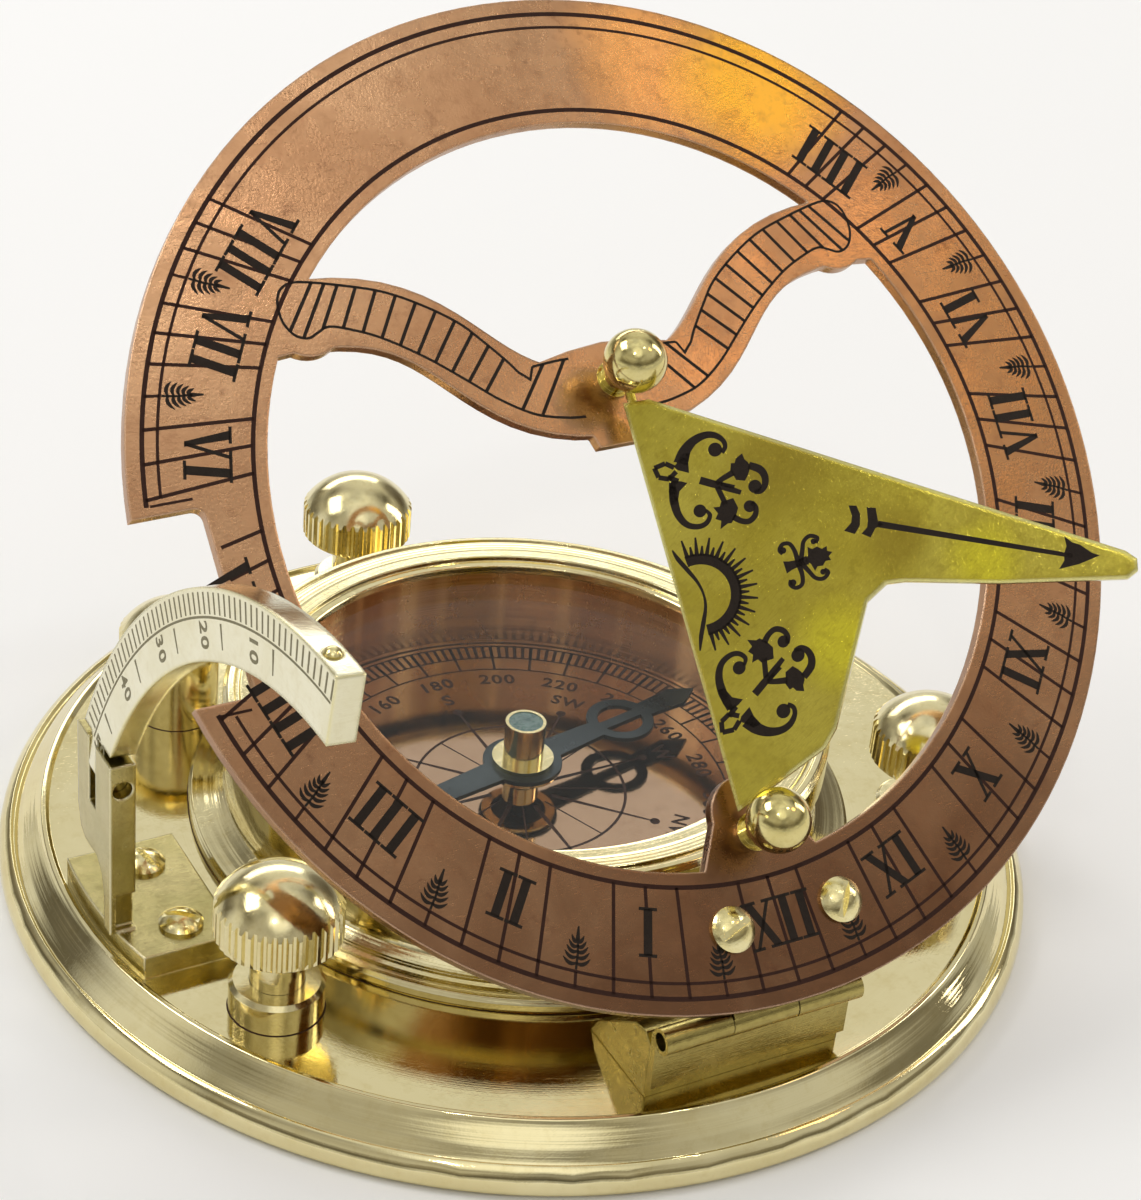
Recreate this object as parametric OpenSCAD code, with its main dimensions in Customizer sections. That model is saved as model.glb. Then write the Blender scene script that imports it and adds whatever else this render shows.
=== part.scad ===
// Sundial compass: an hour ring with a folding gnomon, hinged over a box compass
// on a round base with three levelling screws and a folding latitude arc.
// Millimetres, +Z up, the underside of the base on Z = 0, noon hinge towards -Y.

/* [Base] */
// Outer diameter of the round base
base_d = 127; // [124:1:132]
// Diameter of the flat polished floor inside the turned rim
floor_d = 114.8; // [114:0.2:116]
// Height of the polished floor above the table
floor_h = 6.5; // [6:0.1:7]
// Height of the small lip that bounds the floor
lip_h = 0.5; // [0.3:0.1:0.8]

/* [Compass] */
// Outer diameter of the bowl foot flange
bowl_foot_d = 81.4; // [80:0.2:82]
// Outer diameter of the bowl wall
bowl_d = 71.8; // [71:0.2:72.4]
// Inner diameter of the bowl
bowl_bore = 64.8; // [64:0.2:65.4]
// Height of the bowl from the floor to the seat of the bezel
bowl_h = 13.6; // [13:0.1:14.2]
// Thickness of the bowl floor
bowl_floor_t = 0.8; // [0.6:0.1:1]
// Outer diameter of the bezel
bezel_d = 73.6; // [73.2:0.1:74]
// Diameter of the bezel opening
bezel_bore = 60; // [59:0.2:61]
// Height of the bezel above its seat
bezel_h = 2.2; // [2:0.1:2.6]
// Length of the bezel skirt down the bowl wall
bezel_skirt = 2.5; // [2:0.1:3]
// Thickness of the glass
glass_t = 1.2; // [1:0.1:1.4]
// Thickness of the ring that holds the glass down
retainer_t = 0.6; // [0.5:0.1:0.8]
// Thickness of the dial plate
dial_t = 0.7; // [0.5:0.1:0.8]
// Height of the needle above the dial
needle_lift = 3.7; // [3.5:0.1:4]
// Length of the needle from the pivot to each tip
needle_l = 28.5; // [26:0.5:30]
// Thickness of the needle
needle_t = 0.6; // [0.5:0.1:0.8]
// Direction in which the needle points
needle_a = 12; // [0:1:359]
// Diameter of the brass boss on the needle
boss_d = 5; // [4.6:0.1:5.4]
// Height of the brass boss
boss_h = 5.7; // [5:0.1:6]

/* [Levelling screws] */
// Radius of the circle on which the three screws stand
screw_circle = 49.5; // [48.8:0.1:50]
// Diameter of the round posts
post_d = 10.8; // [10.4:0.1:11]
// Height of the posts
post_h = 3.9; // [3.5:0.1:4.2]
// Diameter of the screw shank
shank_d = 6.2; // [5.6:0.1:6.4]
// Length of shank seen between post and knob
neck_l = 6.2; // [5.8:0.1:6.6]
// Diameter of the knurled knobs
knob_d = 14.4; // [14:0.1:15]
// Height of the knurled band
knurl_h = 4.4; // [4:0.1:5]
// Height of the dome over the knurled band
dome_h = 4; // [3.6:0.1:4.6]
// Number of knurl grooves
knurl_n = 40; // [30:1:44]
// Radius at which the tall clamp post stands
clamp_r = 46.3; // [46.3:0.1:47.4]
// Direction of the tall clamp post
clamp_a = 134; // [132:1:140]
// Height of the tall clamp post
tall_post_h = 10; // [9:0.1:10.4]
// Height of the knurled band of the clamp knob
clamp_knurl_h = 1.5; // [1:0.1:2]

/* [Hour ring] */
// Outer diameter of the hour ring
ring_d = 118; // [116:0.5:119]
// Inner diameter of the hour ring
ring_bore = 87.2; // [86:0.2:88]
// Thickness of the hour ring
ring_t = 1.5; // [1.3:0.1:1.8]
// Tilt of the ring plane at rest
ring_tilt = 43; // [30:1:70]
// Sideways offset of the ring from the hinge
ring_off_x = 3.9; // [3:0.1:4.5]
// Width of the two curved arms
arm_w = 8; // [7:0.1:8.4]

/* [Hinge] */
// Length of the hinge
hinge_l = 24.9; // [24:0.1:26]
// Diameter of the hinge barrel
barrel_d = 3.1; // [2.9:0.1:3.2]
// Diameter of the hinge pin
pin_d = 2; // [1.8:0.1:2.1]
// Height of the hinge axis above the floor
hinge_up = 9.4; // [9:0.1:10]
// Distance of the hinge axis from the centre
hinge_out = 55.5; // [55:0.1:56]
// Depth of the hinge block
block_w = 12.2; // [12:0.1:12.6]
// Diameter of the slotted ring screw heads
head_d = 5.1; // [4.8:0.1:5.6]

/* [Latitude arc] */
// Outer radius of the latitude arc
arc_r = 57.2; // [56:0.1:58]
// Radial width of the latitude arc
arc_w = 7.4; // [7:0.1:8]
// Thickness of the latitude arc
arc_t = 3; // [2.6:0.1:3.2]
// Lean of the arc at rest
arc_lean = 5.4; // [0:0.2:6]
// Height of the arc pivot above the floor
pivot_up = 22.8; // [22:0.1:23.4]
// Distance of the arc pivot from the centre
pivot_out = 55.6; // [55.4:0.1:55.8]
// Diameter of the arc pivot pin
pivot_d = 2.2; // [1.8:0.1:2.3]
// Thickness of the bracket foot
foot_t = 3.1; // [2.8:0.1:3.4]

/* [Gnomon] */
// Thickness of the gnomon plate
gnomon_t = 1.3; // [1:0.1:1.5]
// Height of the pointer tip over its fold line
gnomon_h = 46.5; // [44:0.5:48]
// Lean of the gnomon from upright at rest
gnomon_lean = 55; // [0:1:80]
// Diameter of the ball finials
ball_d = 7.2; // [6.8:0.1:7.4]
// Height of the ball centres over the ring
ball_up = 6.2; // [6:0.1:6.6]

/* [Hidden] */
$fn = 96;

// Clearances
fit = 0.05;          // radial play of shafts and pins in their bores
gap = 0.35;          // free air between curved faces of different bodies
seam = 0.1;          // play between a skirt or a cheek and its mate
eps = 0.01;          // overlap inside one solid and reach of a cut

// Colours
brass = [0.83, 0.71, 0.42];
pale_brass = [0.86, 0.82, 0.66];
yellow_brass = [0.80, 0.69, 0.20];
copper = [0.62, 0.38, 0.25];
dark_steel = [0.18, 0.20, 0.20];
teal = [0.28, 0.42, 0.40];
clear = [0.85, 0.92, 0.92, 0.35];

// Compass levels
bowl_floor_z = floor_h + bowl_floor_t;
dial_z = bowl_floor_z + dial_t;
bezel_z = floor_h + bowl_h;
glass_z = bezel_z - glass_t;
needle_z = dial_z + needle_lift;
pivot_bore = 0.8;
pivot_tip = 2.8;
glass_d = bowl_bore + 2;
retainer_w = 2.8;
collar_d = 9.2;
collar_t = 0.6;
hub_d = 9.8;
cap_d = boss_d - 0.8;
cap_t = 0.5;

// Levelling screws
screw_a = [209.5, 90, 332];
knob_z = floor_h + post_h + neck_l;
spigot_d = 4;
spigot_l = 3.6;
tip_d = 3;
tip_z = 0.6;
tall_post_d = post_d - 0.2;
clamp_z = floor_h + tall_post_h + 2 * seam;
flute = 0.4;
post_chamfer = 0.5;

// Hinge and ring
hinge_z = floor_h + hinge_up;
ring_r = ring_d / 2;
leaf_t = 1.1;
hinge_drop = barrel_d / 2 + gap + ring_t;
knuckle = (hinge_l - 4 * seam) / 3;
ring_screw_y = 9.2;
ring_screw_pitch = 13.8;
ring_screw_mid = 0.9;
head_h = 1.5;
thread_d = 2.8;
slot_w = 0.8;
slot_deep = 0.7;
leaf_w = ring_screw_pitch + 8.4;
leaf_l = 13;
notch_in = ring_r - 8.4;
notch_up = arc_r - ring_r + 8.7;
notch_low = ring_r - arc_r + arc_w + 4.5;
notch_round = 1.2;
ring_screw_turn = [20, 62];
hub_v = 0.1966 * ring_r;
post_up_v = hub_v + 1;
post_low_v = ring_bore / 2 - 3.4;
lug_v = post_low_v - 2;
lug_r = 4.4;
arm_path = ring_r * [[0.6744, 0.4309], [0.2285, 0.4819], [0.3427, 0.1753], [0, 0.1753]];
arm_end = ring_r * [0.5695, 0.4305];

// Latitude arc
pivot_z = floor_h + pivot_up;
ear_top = 3.3;
arc_low = 4;
bracket_y = -4.85;
foot_l = 20.2;
foot_in = 43.8;
bracket_screw_pitch = 11.8;
bracket_screw_x = 49;
bracket_screw_turn = 35;
ear_mid = sqrt(pow(arc_r - arc_w / 2, 2) - pow(pivot_z + arc_low - hinge_z, 2)) - hinge_out;
ear_front = ear_mid - 4.85;
ear_back = ear_mid + 5.2;
slot_y0 = ear_mid - 0.4;
slot_y1 = ear_mid + 1.8;
slot_down = 5.3;
stem_w = 1.9;
pin_sunk = 1.6;
tongue_t = slot_y1 - slot_y0 - 2 * seam;

// Gnomon
fold_up = 2.8;
stem_d = 3.4;
pintle_d = 1.1;
base_up = post_up_v - 3.6;
base_low = post_low_v - 2.4;
tip_v = 0.672 * base_low;

// Point on a cubic curve through four handles
function curve(p, t) = p[0] * pow(1 - t, 3) + 3 * p[1] * t * pow(1 - t, 2)
    + 3 * p[2] * (1 - t) * t * t + p[3] * pow(t, 3);
function slope(p, t) = 3 * (p[1] - p[0]) * pow(1 - t, 2) + 6 * (p[2] - p[1]) * (1 - t) * t
    + 3 * (p[3] - p[2]) * t * t;
function side(p, t, w) = curve(p, t) + w * [-slope(p, t)[1], slope(p, t)[0]] / norm(slope(p, t));

// Frames
module hinge_frame() {
    translate([0, -hinge_out, hinge_z])
    rotate([ring_tilt, 0, 0])
    children();
}

module ring_frame() {
    hinge_frame()
    translate([ring_off_x, ring_r, hinge_drop])
    children();
}

module arc_frame() {
    translate([-pivot_out, 0, pivot_z])
    rotate([0, arc_lean, 0])
    children();
}

module fold_frame() {
    ring_frame()
    translate([0, 0, fold_up])
    rotate([0, gnomon_lean, 0])
    children();
}

// Plate of thickness t across X, drawn in the Y and Z plane
module side_plate(t) {
    translate([-t / 2, 0, 0])
    rotate([90, 0, 90])
    linear_extrude(t)
    children();
}

module at_screw(i) {
    rotate(screw_a[i])
    translate([screw_circle, 0, 0])
    children();
}

module dome(d, h) {
    r = (d * d / 4 + h * h) / (2 * h);
    intersection() {
        translate([0, 0, h - r])
        sphere(r);
        translate([0, 0, h])
        cube([d * 2, d * 2, h * 2], center = true);
    }
}

module slotted_screw(shank_l, turn) {
    difference() {
        union() {
            translate([0, 0, 0.4])
            dome(head_d, head_h - 0.4);
            cylinder(d = head_d, h = 0.4 + eps);
            translate([0, 0, -shank_l])
            cylinder(d = thread_d, h = shank_l + eps);
        }
        rotate(turn)
        translate([0, 0, head_h])
        cube([head_d + 1, slot_w, slot_deep * 2], center = true);
    }
}

// Base
module base_plate() {
    r = base_d / 2;
    f = floor_d / 2;
    step = (r - f) / 6;
    color(brass)
    difference() {
        rotate_extrude($fn = 180)
        polygon([[0, 0], [r - 1.5, 0], [r - 0.3, 0.5], [r, 1.4], [r - 0.2, 2.5], [r - 0.8, 3.4],
            [r - 1.5, 3.8], [r - 1.9, 3.4], [r - 2.3, 3.8], [f + 2.8 * step, floor_h - 1.5],
            [f + 1.6 * step, floor_h - 0.5], [f + 0.9 * step, floor_h + lip_h - 0.1],
            [f + 0.4 * step, floor_h + lip_h], [f, floor_h], [0, floor_h]]);
        for (i = [0:2]) {
            at_screw(i)
            translate([0, 0, -eps])
            cylinder(d = shank_d + 2 * fit, h = floor_h + 2 * eps);
        }
    }
}

// Compass
module compass_bowl() {
    r = bowl_d / 2;
    foot = bowl_foot_d / 2;
    color(brass)
    difference() {
        rotate_extrude($fn = 144)
        polygon([[0, floor_h], [foot - 0.3, floor_h], [foot, floor_h + 0.3], [foot, floor_h + 1.1],
            [foot - 0.4, floor_h + 1.6], [r + 1.9, floor_h + 2.2], [r + 0.6, floor_h + 3],
            [r, floor_h + 4.2], [r, bezel_z], [0, bezel_z]]);
        translate([0, 0, bowl_floor_z])
        cylinder(d = bowl_bore, h = bowl_h, $fn = 144);
        translate([0, 0, glass_z])
        cylinder(d = glass_d + 2 * fit, h = bowl_h, $fn = 144);
    }
}

module bowl_bezel() {
    r = bezel_d / 2;
    b = bezel_bore / 2;
    skirt = bowl_d / 2 + seam;
    g = glass_d / 2 + fit;
    top = bezel_z + bezel_h;
    color(brass)
    rotate_extrude($fn = 144)
    polygon([[b, bezel_z + retainer_t], [b, top - 0.9], [b + 0.2, top - 0.7], [b + 1.1, top - 0.6],
        [b + 1.2, top - 0.1], [b + 1.4, top], [r - 2.1, top], [r - 1.9, top - 0.4],
        [r - 1.5, top - 0.4], [r - 1.3, top - 0.05], [r - 0.6, top - 0.15], [r, top - 0.8],
        [r, bezel_z - bezel_skirt], [skirt, bezel_z - bezel_skirt], [skirt, bezel_z],
        [g, bezel_z], [g, bezel_z + retainer_t]]);
}

module glass_retaining_ring() {
    color(brass)
    translate([0, 0, bezel_z])
    difference() {
        cylinder(d = glass_d, h = retainer_t, $fn = 144);
        translate([0, 0, -eps])
        cylinder(d = glass_d - 2 * retainer_w, h = retainer_t + 2 * eps, $fn = 144);
    }
}

module compass_glass() {
    color(clear)
    translate([0, 0, glass_z])
    cylinder(d = glass_d, h = glass_t, $fn = 144);
}

module compass_dial() {
    color(copper)
    translate([0, 0, bowl_floor_z])
    difference() {
        cylinder(d = bowl_bore - 0.4, h = dial_t, $fn = 144);
        translate([0, 0, -eps])
        cylinder(r = pivot_bore, h = dial_t + 2 * eps);
    }
}

module needle_pivot() {
    color(brass)
    translate([0, 0, bowl_floor_z]) {
        cylinder(r = pivot_bore - fit, h = dial_t + needle_lift + 0.4);
        translate([0, 0, dial_t])
        cylinder(d = 4.4, h = 1.2);
        translate([0, 0, dial_t + needle_lift + 0.4 - eps])
        cylinder(r1 = pivot_bore - fit, r2 = 0.1, h = pivot_tip - 0.4);
    }
}

module compass_needle() {
    eye = needle_l * 0.56;
    color(dark_steel)
    rotate(needle_a)
    translate([0, 0, needle_z])
    linear_extrude(needle_t)
    difference() {
        union() {
            circle(d = hub_d);
            polygon([[0, -2.1], [eye - 3.4, -1.5], [eye + 3.4, -1.3], [needle_l - 3, -1.7],
                [needle_l, 0], [needle_l - 3, 1.7], [eye + 3.4, 1.3], [eye - 3.4, 1.5],
                [0, 2.1], [-needle_l * 0.62, 1.5], [-needle_l + 1, 1.7],
                [-needle_l + 1, -1.7], [-needle_l * 0.62, -1.5]]);
            translate([eye, 0])
            circle(d = 8.6);
        }
        circle(r = pivot_bore + 0.3);
        translate([eye, 0])
        difference() {
            circle(d = 5.8);
            square([9, 1.4], center = true);
        }
    }
}

module needle_collar() {
    color(brass)
    translate([0, 0, needle_z - collar_t])
    difference() {
        cylinder(d = collar_d, h = collar_t);
        translate([0, 0, -eps])
        cylinder(d = collar_d - 2.4, h = collar_t + 2 * eps);
    }
}

module needle_boss() {
    z = needle_z + needle_t;
    color(brass)
    difference() {
        translate([0, 0, z]) {
            cylinder(d = boss_d, h = boss_h);
            cylinder(d = boss_d + 2.6, h = 0.6);
        }
        translate([0, 0, z - eps])
        cylinder(r = pivot_bore + 0.3, h = pivot_tip - needle_t + fit + eps);
        translate([0, 0, z + boss_h - cap_t])
        cylinder(d = cap_d, h = cap_t + eps);
    }
}

module boss_cap() {
    color(teal)
    translate([0, 0, needle_z + needle_t + boss_h - cap_t])
    cylinder(d = cap_d, h = cap_t - 0.1);
}

// Levelling screws
module round_post(d, h) {
    translate([0, 0, floor_h])
    difference() {
        union() {
            cylinder(d = d, h = h - post_chamfer);
            translate([0, 0, h - post_chamfer - eps])
            cylinder(d1 = d, d2 = d - 2 * post_chamfer, h = post_chamfer + eps);
        }
        translate([0, 0, -eps])
        cylinder(d = shank_d + 2 * fit, h = h + 2 * eps);
    }
}

module levelling_posts() {
    color(brass)
    for (i = [0:2]) {
        at_screw(i)
        round_post(post_d, post_h);
    }
}

module levelling_screw(i) {
    color(brass)
    at_screw(i) {
        translate([0, 0, tip_z])
        cylinder(d1 = tip_d, d2 = shank_d, h = 1.5);
        translate([0, 0, tip_z + 1.5 - eps])
        cylinder(d = shank_d, h = knob_z - tip_z - 1.5 + eps);
        translate([0, 0, knob_z - eps])
        cylinder(d = spigot_d, h = spigot_l + eps);
    }
}

module knob_body(z, band_h) {
    color(pale_brass)
    translate([0, 0, z])
    difference() {
        intersection() {
            linear_extrude(band_h + dome_h)
            polygon([for (i = [0:knurl_n - 1], k = [0:3])
                let (a = 360 / knurl_n * (i + [0, 0.3, 0.5, 0.8][k]))
                let (r = knob_d / 2 + eps - (k > 1 ? flute : 0))
                r * [cos(a), sin(a)]]);
            union() {
                cylinder(d1 = knob_d - 1, d2 = knob_d, h = 0.5);
                translate([0, 0, 0.5 - eps])
                cylinder(d = knob_d, h = band_h - 0.5 + 2 * eps);
                translate([0, 0, band_h])
                dome(knob_d, dome_h);
            }
        }
        translate([0, 0, -eps])
        cylinder(d = spigot_d + 2 * fit, h = spigot_l + 0.3 + eps);
    }
}

module clamp_place() {
    rotate(clamp_a)
    translate([clamp_r, 0, 0])
    children();
}

module clamp_post() {
    color(brass)
    clamp_place()
    round_post(tall_post_d, tall_post_h);
}

module clamp_stud() {
    color(brass)
    clamp_place() {
        translate([0, 0, floor_h])
        cylinder(d = shank_d, h = clamp_z - floor_h);
        translate([0, 0, clamp_z - eps])
        cylinder(d = spigot_d, h = spigot_l + eps);
    }
}

// Latitude arc
module arc_bracket() {
    out = pivot_out + arc_t / 2;
    color(brass)
    difference() {
        union() {
            intersection() {
                translate([-out, bracket_y - foot_l / 2, floor_h])
                cube([out - foot_in, foot_l, foot_t]);
                cylinder(d = floor_d - 0.8, h = floor_h + foot_t, $fn = 180);
            }
            translate([-pivot_out, 0, 0])
            side_plate(arc_t)
            difference() {
                polygon([[ear_front + stem_w, floor_h + foot_t - eps],
                    [ear_front + stem_w, pivot_z - 15], [ear_mid - 2.3, pivot_z - 12.8],
                    [ear_mid - 0.7, pivot_z - 11.4], [ear_mid + 2.9, pivot_z - 11.5],
                    [ear_mid + 4.3, pivot_z - 10.7], [ear_back, pivot_z - 7.8],
                    [ear_back, pivot_z + ear_top], [ear_front, pivot_z + ear_top],
                    [ear_front, floor_h + foot_t - eps]]);
                translate([slot_y0, pivot_z - slot_down])
                square([slot_y1 - slot_y0, slot_down + ear_top + 1]);
            }
        }
        translate([-pivot_out, ear_front - 1, pivot_z])
        rotate([-90, 0, 0])
        cylinder(d = pivot_d + 2 * fit, h = ear_back - ear_front + 2);
        translate([-pivot_out - arc_t / 2 + 0.7, ear_front - 1, floor_h + foot_t + 0.3])
        cube([arc_t, 1.9, 5]);
        for (s = [-1, 1]) {
            translate([-bracket_screw_x, bracket_y + s * bracket_screw_pitch / 2, floor_h - eps])
            cylinder(d = thread_d + 2 * fit, h = foot_t + 2 * eps);
        }
    }
}

module arc_bracket_screws() {
    color(brass)
    for (s = [-1, 1]) {
        translate([-bracket_screw_x, bracket_y + s * bracket_screw_pitch / 2, floor_h + foot_t])
        slotted_screw(foot_t, bracket_screw_turn * (1 + 2 * s));
    }
}

module arc_pivot_pin() {
    color(brass)
    translate([-pivot_out, ear_front + pin_sunk, pivot_z])
    rotate([-90, 0, 0])
    cylinder(d = pivot_d, h = ear_back - ear_front - pin_sunk - 0.2);
}

module latitude_arc() {
    c = [-hinge_out, hinge_z - pivot_z];
    color(pale_brass)
    arc_frame()
    difference() {
        union() {
            side_plate(arc_t)
            intersection() {
                translate(c)
                difference() {
                    circle(arc_r, $fn = 180);
                    circle(arc_r - arc_w, $fn = 180);
                }
                translate([c[0] - 0.6, arc_low])
                square([arc_r + 5, arc_r + 5]);
            }
            side_plate(arc_t)
            translate([slot_y0 + seam, 0])
            square([tongue_t, arc_low + 1.5]);
            translate([0, slot_y0 + seam, 0])
            rotate([-90, 0, 0])
            cylinder(d = arc_t, h = tongue_t);
        }
        translate([0, slot_y0 + seam - eps, 0])
        rotate([-90, 0, 0])
        cylinder(d = pivot_d + 2 * fit, h = tongue_t + 2 * eps);
        arc_stop_place()
        cylinder(d = 1.9 + 2 * fit, h = 4);
    }
}

module arc_stop_place() {
    translate([0, -hinge_out, hinge_z - pivot_z])
    rotate([-3.4, 0, 0])
    translate([0, 0, arc_r - 1.6])
    children();
}

module arc_stop_pin() {
    color(pale_brass)
    arc_frame()
    arc_stop_place() {
        cylinder(d = 1.9, h = 1.7);
        translate([0, 0, 1.7 - eps])
        dome(1.9, 0.6);
    }
}

// Hinge
module knuckle_tube(x, w) {
    translate([x, 0, 0])
    rotate([0, 90, 0])
    difference() {
        cylinder(d = barrel_d, h = w);
        translate([0, 0, -eps])
        cylinder(d = pin_d + 2 * fit, h = w + 2 * eps);
    }
}

module hinge_block() {
    front = -hinge_out + barrel_d / 2 + 0.25;
    color(brass)
    translate([-hinge_l / 2, 0, 0])
    rotate([90, 0, 90])
    linear_extrude(hinge_l)
    polygon([[front, floor_h], [front + block_w, floor_h], [front + block_w - 1.4, floor_h + 2.4],
        [front + 3.4, hinge_z - 1.4], [front + 1.2, hinge_z - 1], [front, hinge_z - 2.2]]);
}

module hinge_fixed_leaf() {
    front = -hinge_out + barrel_d / 2 + 0.25;
    w = knuckle;
    color(brass) {
        difference() {
            translate([-hinge_l / 2, front - 1, floor_h + 2])
            cube([hinge_l, 1, hinge_up - 2]);
            translate([-w / 2 - seam, front - 1.5, hinge_z - barrel_d / 2 - gap])
            cube([w + 2 * seam, 2, barrel_d]);
            translate([-hinge_l, -hinge_out, hinge_z])
            rotate([0, 90, 0])
            cylinder(d = barrel_d - eps, h = 2 * hinge_l);
        }
        translate([0, -hinge_out, hinge_z]) {
            knuckle_tube(-hinge_l / 2, w + seam);
            knuckle_tube(hinge_l / 2 - w - seam, w + seam);
        }
    }
}

module hinge_pin() {
    color(brass)
    translate([-hinge_l / 2 + 2, -hinge_out, hinge_z])
    rotate([0, 90, 0])
    cylinder(d = pin_d, h = hinge_l - 2.2);
}

module hinge_ring_leaf() {
    w = knuckle;
    top = barrel_d / 2 + gap;
    mid = ring_off_x + ring_screw_mid;
    color(brass)
    hinge_frame()
    difference() {
        union() {
            knuckle_tube(-w / 2, w);
            translate([-w / 2, 0, top - leaf_t])
            cube([w, 4, leaf_t]);
            translate([mid - leaf_w / 2, 2.4, top - leaf_t])
            cube([leaf_w, leaf_l - 2.4, leaf_t]);
        }
        translate([-hinge_l / 2, 0, 0])
        rotate([0, 90, 0])
        cylinder(d = pin_d + 2 * fit, h = hinge_l);
        for (s = [-1, 1]) {
            translate([mid + s * ring_screw_pitch / 2, ring_screw_y, 0])
            cylinder(d = thread_d + 2 * fit, h = 4);
        }
    }
}

module ring_screws() {
    color(brass)
    ring_frame()
    for (s = [-1, 1]) {
        translate([ring_screw_mid + s * ring_screw_pitch / 2, ring_screw_y - ring_r, 0])
        slotted_screw(ring_t + leaf_t, ring_screw_turn[(s + 1) / 2]);
    }
}

// Hour ring
module arms() {
    n = 20;
    up = [for (i = [0:n]) side(arm_path, i / n, -arm_w / 2)];
    low = [for (i = [0:n]) side(arm_path, i / n, arm_w / 2)];
    polygon([for (i = [0:n - 1]) up[i], for (i = [n:-1:0]) [-up[i][0], up[i][1]],
        for (i = [0:n - 1]) [-low[i][0], low[i][1]], for (i = [n:-1:0]) low[i]]);
}

module notch() {
    deep = notch_in + notch_round;
    translate([-ring_d, -notch_low])
    square([ring_d - deep, notch_low + notch_up]);
    translate([-deep - eps, -notch_low + notch_round])
    square([notch_round + eps, notch_low + notch_up - 2 * notch_round]);
    translate([-deep, notch_up - notch_round])
    circle(notch_round, $fn = 32);
    translate([-deep, notch_round - notch_low])
    circle(notch_round, $fn = 32);
}

module hour_ring() {
    color(copper)
    ring_frame()
    translate([0, 0, -ring_t])
    linear_extrude(ring_t)
    difference() {
        union() {
            difference() {
                circle(d = ring_d, $fn = 180);
                circle(d = ring_bore, $fn = 180);
            }
            arms();
            for (s = [-1, 1]) {
                translate([s * arm_end[0], arm_end[1]])
                circle(d = arm_w + 0.8, $fn = 48);
            }
            polygon([[-4, hub_v - 6.4], [4, hub_v - 6.4], [4.4, hub_v - 5], [7, hub_v - 3],
                [9.2, hub_v + 4.3], [7.6, hub_v + 4.6], [4.4, hub_v + 5.2], [0, hub_v + 5.6],
                [-4.4, hub_v + 5.2], [-7.6, hub_v + 4.6], [-9.2, hub_v + 4.3], [-7, hub_v - 3],
                [-4.4, hub_v - 5]]);
            translate([0, -lug_v])
            circle(lug_r);
            polygon([[-8, -ring_bore / 2 - 1], [8, -ring_bore / 2 - 1], [lug_r, -lug_v],
                [-lug_r, -lug_v]]);
        }
        notch();
        for (s = [-1, 1]) {
            translate([ring_screw_mid + s * ring_screw_pitch / 2, ring_screw_y - ring_r])
            circle(d = thread_d + 2 * fit);
        }
        translate([0, post_up_v])
        circle(d = stem_d - 0.8);
        translate([0, -post_low_v])
        circle(d = stem_d - 0.8);
    }
}

// Gnomon
module ball_post() {
    difference() {
        union() {
            translate([0, 0, ball_up])
            sphere(d = ball_d);
            cylinder(d = stem_d, h = ball_up);
            translate([0, 0, -ring_t])
            cylinder(d = stem_d - 0.8 - 2 * fit, h = ring_t + eps);
            cylinder(d = stem_d + 1, h = 0.6);
        }
        translate([0, 0, fold_up])
        rotate([90, 0, 0])
        cylinder(d = pintle_d + 2 * fit, h = 20, center = true, $fn = 32);
    }
}

module gnomon_ball_posts() {
    color(brass)
    ring_frame() {
        translate([0, post_up_v, 0])
        ball_post();
        translate([0, -post_low_v, 0])
        ball_post();
    }
}

module gnomon() {
    h = gnomon_h;
    color(yellow_brass)
    fold_frame() {
        side_plate(gnomon_t)
        polygon([[base_up, -1], [base_up - 0.5, 1.9], [-tip_v + 1.6, h - 0.9], [-tip_v + 0.4, h],
            [-tip_v - 0.8, h - 0.3], [-tip_v - 1.3, h - 1.6], [-0.608 * base_low, 0.69 * h],
            [-0.518 * base_low, 0.482 * h], [-0.508 * base_low, 0.44 * h],
            [-0.54 * base_low, 0.385 * h], [-0.857 * base_low, 0.228 * h],
            [-0.902 * base_low, 0.19 * h],
            [-base_low + 1.5, 2.4], [-base_low, -2.2]]);
        translate([0, base_up - 1.5, 0])
        rotate([-90, 0, 0])
        cylinder(d = pintle_d, h = post_up_v + 2.1 - base_up, $fn = 32);
        translate([0, -post_low_v - 0.6, 0])
        rotate([-90, 0, 0])
        cylinder(d = pintle_d, h = post_low_v + 2.1 - base_low, $fn = 32);
    }
}

base_plate();
compass_bowl();
bowl_bezel();
glass_retaining_ring();
compass_glass();
compass_dial();
needle_pivot();
compass_needle();
needle_collar();
needle_boss();
boss_cap();
levelling_posts();
levelling_screw(0);  // levelling_screw_left
levelling_screw(1);  // levelling_screw_back
levelling_screw(2);  // levelling_screw_right
at_screw(0) knob_body(knob_z, knurl_h);  // levelling_knob_left
at_screw(1) knob_body(knob_z, knurl_h);  // levelling_knob_back
at_screw(2) knob_body(knob_z, knurl_h);  // levelling_knob_right
clamp_post();
clamp_stud();
clamp_place() knob_body(clamp_z, clamp_knurl_h);  // clamp_knob
arc_bracket();
arc_bracket_screws();
arc_pivot_pin();
latitude_arc();
arc_stop_pin();
hinge_block();
hinge_fixed_leaf();
hinge_pin();
hinge_ring_leaf();
ring_screws();
hour_ring();
gnomon_ball_posts();
gnomon();
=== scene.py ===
"""Looks of the sundial compass: materials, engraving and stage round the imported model."""

import math

import bmesh
import bpy
from mathutils import Matrix, Vector
from mathutils.geometry import tessellate_polygon


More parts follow.
